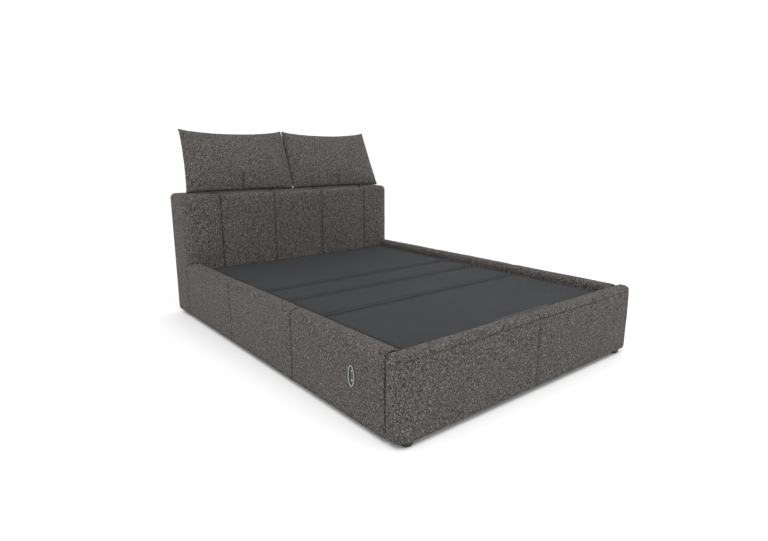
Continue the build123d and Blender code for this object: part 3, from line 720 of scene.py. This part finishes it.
UNDER_RING = 0.003
PAST_CLOTH = 0.01
ring_low, ring_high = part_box("switch_bezel")
housing_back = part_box("switch_housing")[1].x
pocket_low = Vector((ring_low.x - PAST_CLOTH, ring_low.y, ring_low.z))
pocket_high = Vector((housing_back + 0.003, ring_high.y, ring_high.z))
cut_away(rail_left, [oval_block(pocket_low, pocket_high, UNDER_RING)])
print("left rail with its pocket:", len(rail_left.data.polygons), "faces")

# %% [markdown]
# ## The deck
# Four padded panels carry the mattress: back, seat, thigh and leg. Each is a plywood board
# with thin foam under charcoal knit, stapled below, so its top edges are round and its top is
# a touch crowned. Panels at the two upper hinge lines are notched for the ears of the hinges.
# A line of stitching runs round each panel near its edge, where the side band is joined.


# %% Where the hinges are
def joint_place(name):
    """A point on the axis of a joint, in metres."""
    joints = frame["record"]["behaviour"]["joints"]
    return next(joint for joint in joints if joint["name"] == name)["pos_m"]


HINGE_LINES = [joint_place(name)[1] for name in ("back_lift", "thigh_lift")]
print("hinge lines across the deck at", [round(line, 3) for line in HINGE_LINES])

# %% Deck panels
DECK_CORNER = 0.025
DECK_ROLL = 0.012
DECK_GRID = 0.02
STITCH_IN = 0.030
STITCH_WIDTH = 0.004


def inward(co, low, high):
    """How far a point stands in from the nearest edge of a panel, seen from above."""
    return min(co.x - low.x, high.x - co.x, co.y - low.y, high.y - co.y)


def deck_panel(node):
    low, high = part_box(node)
    bm = block(low, high)
    rounded(bm, edges_where(bm, lambda a, b: a.z != b.z), DECK_CORNER, 6)
    rounded(bm, edges_where(bm, lambda a, b: min(a.z, b.z) > high.z - EDGE), DECK_ROLL, 4)
    for axis in (0, 1):
        ends = (low[axis], high[axis])
        at_stitch = [ends[0] + STITCH_IN, ends[1] - STITCH_IN]
        past_stitch = [at_stitch[0] + STITCH_WIDTH, at_stitch[1] - STITCH_WIDTH]
        sliced(bm, axis, steps(*ends, DECK_GRID, at_stitch + past_stitch))
    sliced(bm, 2, steps(low.z, high.z, 0.012))

    def swell(co, normal):
        inside = inward(co, low, high)
        stitch = crease(inside - STITCH_IN, STITCH_WIDTH) * 0.0035 if normal.z > 0.7 else 0
        dome = min(1, inside / 0.12)
        dip = (1 - dome) ** 2 * 0.002
        loose = lumps(co, 0.16, 9) * 0.0009 + lumps(co, 0.05, 11) * 0.0003
        return (-stitch - dip + loose) * max(0, normal.z) - 0.0005

    pushed(bm, swell)
    panel = finished(node.replace("_cover", "_deck_pad"), bm, knit)
    # Painted shade in the stitch groove round the panel.
    paint_seam_shade(panel, lambda co, n: abs(inward(co, low, high) - STITCH_IN) < ON_SEAM and n.z > 0.5)
    cut_away(panel, notches(low, high))
    return panel


# %% Notches for the hinge ears
NOTCH_X = (0.645, 0.668)
NOTCH_REACH = 0.015
THROUGH = 0.01


def notches(low, high):
    """A block for every ear of a hinge that stands in a panel with these corners."""
    blocks = []
    for line in HINGE_LINES:
        if not low.y - NOTCH_REACH < line < high.y + NOTCH_REACH:
            continue
        for side in (-1, 1):
            left, right = sorted((side * NOTCH_X[0], side * NOTCH_X[1]))
            corner = (left, line - NOTCH_REACH, low.z - THROUGH)
            blocks.append(block(corner, (right, line + NOTCH_REACH, high.z + THROUGH)))
    return blocks


# %% The four panels
DECK = {
    "back_cover": "back_section",
    "seat_cover": "base",
    "thigh_cover": "thigh_section",
    "leg_cover": "leg_section",
}
for node, body in DECK.items():
    panel = dressed(deck_panel(node), body, node)
    print(panel.name, len(panel.data.polygons), "faces")

# %% [markdown]
# ## Headrest cushions
# Each headrest is a knife-edge cushion: two panels of cloth sewn together round the rim and
# stuffed. The rim pulls in between the corners and leaves small ears at the corners, which is
# what makes a cushion look sewn and not moulded. The shape starts as a block sliced into a
# grid and pressed into a lens. The wrinkles would take hours to draw, so cloth simulation
# makes them: the lens is remeshed evenly, blown up like a balloon for twenty frames, and
# every point may move only a little way from where it began.

# %% The lean of the cushions and their outline
LEAN = math.radians(21)
LEAN_DEPTH = Vector((0, math.cos(LEAN), -math.sin(LEAN)))
HINGE_Y, HINGE_Z = joint_place("right_headrest_tilt")[1:]
RIM_NEAR = 0.001
RIM_FAR = 0.806
TAPER = 0.034
RIM_BOTTOM = -0.016
RIM_TOP = 0.404
EAR_RISE = 0.028


def rim_point(a, b):
    """Across and up the cushion for a and b from -1 to 1, with its edges pulled in."""
    up = (b + 1) / 2
    far = RIM_FAR - TAPER * up - 0.008 * (1 - b * b)
    x = RIM_NEAR + (far - RIM_NEAR) * (a + 1) / 2
    bottom = RIM_BOTTOM + 0.004 * (1 - a * a)
    top = RIM_TOP + EAR_RISE * a * a
    v = bottom + (top - bottom) * up
    corner = abs(a * b) ** 14
    out = 0.009 * corner if a > 0 else 0
    rise = (0.010 if b > 0 else -0.002) * corner
    return x + out, v + rise


def fullness(a, b):
    """How thick the stuffing is, from 0 on the rim to 1 in the middle."""
    upward = 3.2 if b > 0 else 5.5
    return max(0, 1 - abs(a) ** 7) ** 0.55 * max(0, 1 - abs(b) ** upward) ** 0.55


print("the rim is", round(RIM_FAR - RIM_NEAR, 3), "wide and", round(RIM_TOP - RIM_BOTTOM, 3), "high")


# %% A plump lens in the leaning frame
FRONT_FULL = 0.054
BACK_FULL = 0.038
RIM_HALF = 0.005


def cushion_lens(side, seed):
    bm = block((-1, -1, -1), (1, 1, 1))
    sliced(bm, 0, steps(-1, 1, 0.02))
    sliced(bm, 2, steps(-1, 1, 0.035))
    for vert in bm.verts:
        a, depth, b = vert.co
        x, v = rim_point(a, b)
        full = fullness(a, b)
        uneven = 1 + 0.10 * noise.noise(Vector((a * 1.6, b * 1.3, seed)))
        reach = RIM_HALF + (FRONT_FULL if depth < 0 else BACK_FULL) * full * uneven
        lower = 1 - 0.10 * b
        vert.co = (x * side, math.copysign(reach * lower, depth), v)
    return bm


def leaned(bm):
    """Tips a bench mesh back to the lean of the headrests, at their hinge."""
    turned(bm, -LEAN, "X")
    bmesh.ops.translate(bm, vec=(0, HINGE_Y, HINGE_Z), verts=bm.verts)
    return bm


# %% Air, and a limit on how far it may push
AIR_PRESSURE = 5.0
MOST_MOVE = 0.022
RIM_SLACK = 0.02


def pin_rim(obj, slack):
    """Marks the sewn rim of a leaning cushion, so that the air can't pull it in far."""
    rim = [v.index for v in obj.data.vertices if abs(v.normal.dot(LEAN_DEPTH)) < 0.45]
    group = obj.vertex_groups.new(name="rim")
    group.add(rim, 1 - slack, "REPLACE")
    return group


def blown_up(obj, frames=20):
    """Fills a closed mesh with air as cloth, then keeps the result without the modifier."""
    start = [v.co.copy() for v in obj.data.vertices]
    pins = pin_rim(obj, RIM_SLACK)
    cloth = obj.modifiers.new("air", "CLOTH")
    cloth.settings.vertex_group_mass = pins.name
    cloth.settings.quality = 4
    cloth.settings.tension_stiffness = 12
    cloth.settings.compression_stiffness = 12
    cloth.settings.shear_stiffness = 4
    cloth.settings.bending_stiffness = 0.35
    cloth.settings.use_pressure = True
    cloth.settings.uniform_pressure_force = AIR_PRESSURE
    cloth.settings.effector_weights.gravity = 0
    cloth.collision_settings.use_collision = False
    cloth.point_cache.frame_end = frames
    for moment in range(1, frames + 1):
        scene.frame_set(moment)
    settled = obj.evaluated_get(bpy.context.evaluated_depsgraph_get()).to_mesh()
    places = [v.co.copy() for v in settled.vertices]
    obj.modifiers.remove(cloth)
    obj.vertex_groups.remove(pins)
    for vert, old, new in zip(obj.data.vertices, start, places):
        move = new - old
        if move.length > MOST_MOVE:
            move *= MOST_MOVE / move.length
        vert.co = old + move
    scene.frame_set(1)


# %% The pleat, soft dents and room for the hinges
PLATE_XS = (0.185, 0.625)
POCKET_HALF = 0.014
POCKET_ROUND = 0.0155
PLEAT_TOP = 0.11
PLEAT_X = PANEL_WIDTH
PLEAT_SINK = 0.012


def detail_cushion(obj, side, seed):
    """Presses the short front pleat, soft dents and the hinge pockets into a cushion."""
    turn_back = Matrix.Rotation(LEAN, 3, "X")
    hinge = Vector((0, HINGE_Y, HINGE_Z))
    for vert in obj.data.vertices:
        local = turn_back @ (vert.co - hinge)
        across = local.x * side
        gap = across - PLEAT_X
        on_front = 1 / (1 + math.exp(local.y / 0.006))
        low_down = max(0, min(1, (PLEAT_TOP - local.z) / 0.05))
        pleat = crease(gap, 0.006) * PLEAT_SINK + crease(gap, 0.045) * 0.009
        folds = fading(abs(gap), 0.06) * math.sin(local.z * 130 + abs(gap) * 40) * 0.0016
        local.y += (pleat + folds) * low_down * on_front
        dent = noise.noise(Vector((across * 5, local.z * 6, seed))) * 0.004
        dent += noise.noise(Vector((across * 16, local.z * 18, seed + 4))) * 0.0012
        local.y += dent * on_front
        for place in PLATE_XS:
            share = max(0, 1 - ((across - place) / POCKET_HALF) ** 4)
            reach = math.hypot(local.y, local.z)
            room = POCKET_ROUND * share
            if share > 0 and reach < room:
                local.z = math.sqrt(max(0, room**2 - local.y**2))
        local.x = max(0.0008, across) * side
        vert.co = turn_back.transposed() @ local + hinge


# %% Both headrest cushions
def headrest_cushion(name, side, seed):
    cushion = finished(name, leaned(cushion_lens(side, seed)), boucle)
    apply_modifier(cushion, "REMESH", mode="VOXEL", voxel_size=0.007, use_smooth_shade=True)
    apply_modifier(cushion, "SMOOTH", factor=0.5, iterations=3)
    blown_up(cushion)
    apply_modifier(cushion, "SUBSURF", levels=1, render_levels=1)
    detail_cushion(cushion, side, seed)
    cushion.data.update()

    # Painted shade round the rim, where the cushion turns away from the front and back, and in the
    # pleat.
    def sewn(co, normal):
        facing = normal.dot(LEAN_DEPTH)
        rim = max(0, 1 - abs(facing) / 0.3)
        up = (co.z - HINGE_Z) / math.cos(LEAN)
        pleat = abs(abs(co.x) - PLEAT_X) < 0.0035 and up < PLEAT_TOP * 0.8 and facing < 0
        return 0.75 * rim or 0.65 * pleat

    paint_seam_shade(cushion, sewn)
    return cushion


for name, side, seed in (("left", -1, 2.0), ("right", 1, 5.0)):
    cushion = headrest_cushion(f"headrest_cushion_{name}", side, seed)
    dressed(cushion, f"{name}_headrest", f"cushion_{name}")
    print(cushion.name, len(cushion.data.polygons), "faces")

# %% [markdown]
# ## Small things that a maker adds
# Two details finish the switch and the back. Each button has a raised arrow, so that it can be
# read by touch: a three-sided cone with its tip cut off, laid against the button. The dust
# cover behind the headboard is held by staples a few centimetres apart all round its edge.

# %% Arrows on the buttons
ARROW_SIZE = 0.005
ARROW_TAPER = 0.86
ARROW_PROUD = 0.0008


def button_arrow(node, body, up):
    low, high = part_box(node)
    sizes = {"radius1": ARROW_SIZE, "radius2": ARROW_SIZE * ARROW_TAPER, "depth": 2 * ARROW_PROUD}
    bm = bmesh.new()
    bmesh.ops.create_cone(bm, cap_ends=True, segments=3, **sizes)
    turned(bm, -QUARTER, "Y")
    tip = max(bm.verts, key=lambda v: abs(v.co.z)).co.z
    if (tip > 0) != up:
        turned(bm, 2 * QUARTER, "X")
    rounded(bm, bm.edges[:], 0.0004, 2)
    middle = (low + high) / 2
    bmesh.ops.translate(bm, vec=(low.x, middle.y, middle.z), verts=bm.verts)
    arrow = finished(node.replace("button", "arrow"), bm, aluminium)
    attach(arrow, body)
    return arrow


button_arrow("button_up", "up_button", True)
button_arrow("button_down", "down_button", False)
print("an arrow", ARROW_PROUD * 1000, "mm proud on each button")


# %% Staples round the dust cover
STAPLE = Vector((0.010, 0.0011, 0.0011))
STAPLE_PITCH = 0.055
STAPLE_INSET = 0.012


def staple_at(bm, place, upright):
    made = bmesh.ops.create_cube(bm, size=1)["verts"]
    bmesh.ops.scale(bm, vec=STAPLE, verts=made)
    if upright:
        turned(bm, QUARTER, "Y", made)
    bmesh.ops.translate(bm, vec=place, verts=made)


def dust_cover_staples():
    low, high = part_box("headboard_back_panel")
    left, right = low.x + STAPLE_INSET, high.x - STAPLE_INSET
    bottom, top = low.z + STAPLE_INSET, high.z - STAPLE_INSET
    bm = bmesh.new()
    for x in steps(left, right, STAPLE_PITCH):
        for z in (bottom, top):
            staple_at(bm, (x, high.y, z), False)
    for z in steps(bottom, top, STAPLE_PITCH):
        for x in (left, right):
            staple_at(bm, (x, high.y, z), True)
    rounded(bm, bm.edges[:], 0.0003, 2)
    staples = finished("dust_cover_staples", bm, zinc)
    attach(staples, "base")
    return staples


staples = dust_cover_staples()
print("staples:", len(staples.data.polygons), "faces")

# %% [markdown]
# ## Finishes for the frame
# The frame's own parts keep their shapes and get the finish of their real material. One table
# says which finish goes on which parts, so it is easy to see that none is left out.

# %% Every frame part and its finish
FRAME_FINISHES = (
    (timber, ["footboard_board", "rail_board_right", "rail_board_left", "headboard_rails"]),
    (timber, ["headboard_end_boards"]),
    (plywood, ["headboard_front_board", "headboard_top_board", "seat_board", "back_board"]),
    (plywood, ["thigh_board", "leg_board", "headrest_board_right", "headrest_board_left"]),
    (lining, ["headboard_back_panel"]),
    (steel_paint, ["frame_tubes", "support_legs", "seat_supports", "back_frame", "thigh_frame"]),
    (steel_paint, ["leg_frame", "mattress_stop", "headrest_arms_right", "headrest_arms_left"]),
    (steel_paint, ["ratchet_plates", "brackets"]),
    (zinc, ["bracket_bolts", "seat_hinge_pins", "knee_pins", "back_drive_pin", "thigh_drive_pin"]),
    (zinc, ["drive_screws", "ratchet_pins"]),
    (aluminium, ["drive_tracks"]),
    (black_plastic, ["feet", "drive_motors", "control_box", "power_supply", "mains_inlet"]),
    (black_plastic, ["switch_housing"]),
    (nylon, ["roller_right", "roller_left", "back_carriage", "thigh_carriage"]),
    (rubber, ["leg_glides", "buffers", "cables"]),
    (felt, ["foot_glides"]),
    (chrome, ["switch_bezel"]),
    (button_grey, ["button_up", "button_down"]),
)
for finish, names in FRAME_FINISHES:
    for name in names:
        paint_with(parts[name], finish)
with_finish = {name for finish, names in FRAME_FINISHES for name in names}
replaced = {"headboard_cover", "footboard_cover", "rail_cover_right", "rail_cover_left"}
replaced |= set(DECK) | {"cushion_right", "cushion_left"}
print("frame parts with no finish:", sorted(set(parts) - with_finish - replaced))

# %% [markdown]
# ## Floor, light and camera
# A white floor and a white surround give the soft, nearly shadowless light of a studio sweep.
# One large lamp above and to the left of the camera gives the cloth its modelling, and a
# second, weaker one fills the shaded end. The camera stands at the foot end on the left,
# a little above the headrests, with a fairly wide lens.

# %% Floor and surround
FLOOR_REACH = 30
SURROUND_STRENGTH = 1.06


def studio_floor(white=(0.97, 0.97, 0.97), shaded=(0.96, 0.96, 0.965)):
    bm = bmesh.new()
    bmesh.ops.create_circle(bm, cap_ends=True, segments=96, radius=FLOOR_REACH)
    paper = Finish("studio_paper", white, 0.9)
    grain = paper.noise(3, 3)
    paper.feed(Base_Color=paper.blend(grain * 0.3, white, shaded))
    return finished("studio_floor", bm, paper, smooth=False)


studio_floor()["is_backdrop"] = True
surround = bpy.data.worlds.new("white_surround")
surround.use_nodes = True
background = surround.node_tree.nodes["Background"]
background.inputs["Color"].default_value = (1, 1, 1, 1)
background.inputs["Strength"].default_value = SURROUND_STRENGTH
scene.world = surround
scene.view_settings.view_transform = "Standard"
print("the surround shines at", SURROUND_STRENGTH)


# %% Lamps
LAMP_TARGET = (0, 0, 0.4)


def aimed(obj, place, target):
    obj.location = place
    obj.rotation_euler = (Vector(target) - Vector(place)).to_track_quat("-Z", "Y").to_euler()
    scene.collection.objects.link(obj)


def soft_lamp(name, place, size, watts):
    light = bpy.data.lights.new(name, "AREA")
    light.shape = "SQUARE"
    light.size = size
    light.energy = watts
    aimed(bpy.data.objects.new(name, light), place, LAMP_TARGET)


soft_lamp("key_lamp", (-3.2, -3.0, 4.6), 2.6, 120)
soft_lamp("fill_lamp", (3.8, -2.2, 3.2), 3.0, 45)
print("two lamps are in place")

# %% Camera
LENS_MM = 25.02
EYE = (-2.0402, -2.579, 1.1125)
YAW = 0.681
PITCH = 0.2176
camera_data = bpy.data.cameras.new("camera")
camera_data.lens = LENS_MM
camera_data.sensor_width = 36
camera_data.clip_end = 100
camera = bpy.data.objects.new("camera", camera_data)
camera.location = EYE
camera.rotation_euler = (QUARTER - PITCH, 0, -YAW)
scene.collection.objects.link(camera)
scene.camera = camera
print("the camera stands", EYE[2], "m above the floor")

# %% The sizes before and after, and the finish
sizes = {
    "frame": [list(corner) for corner in frame_box],
    "visual": [list(corner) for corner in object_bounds()],
}
print({key: [round(b - a, 4) for a, b in zip(*box)] for key, box in sizes.items()})
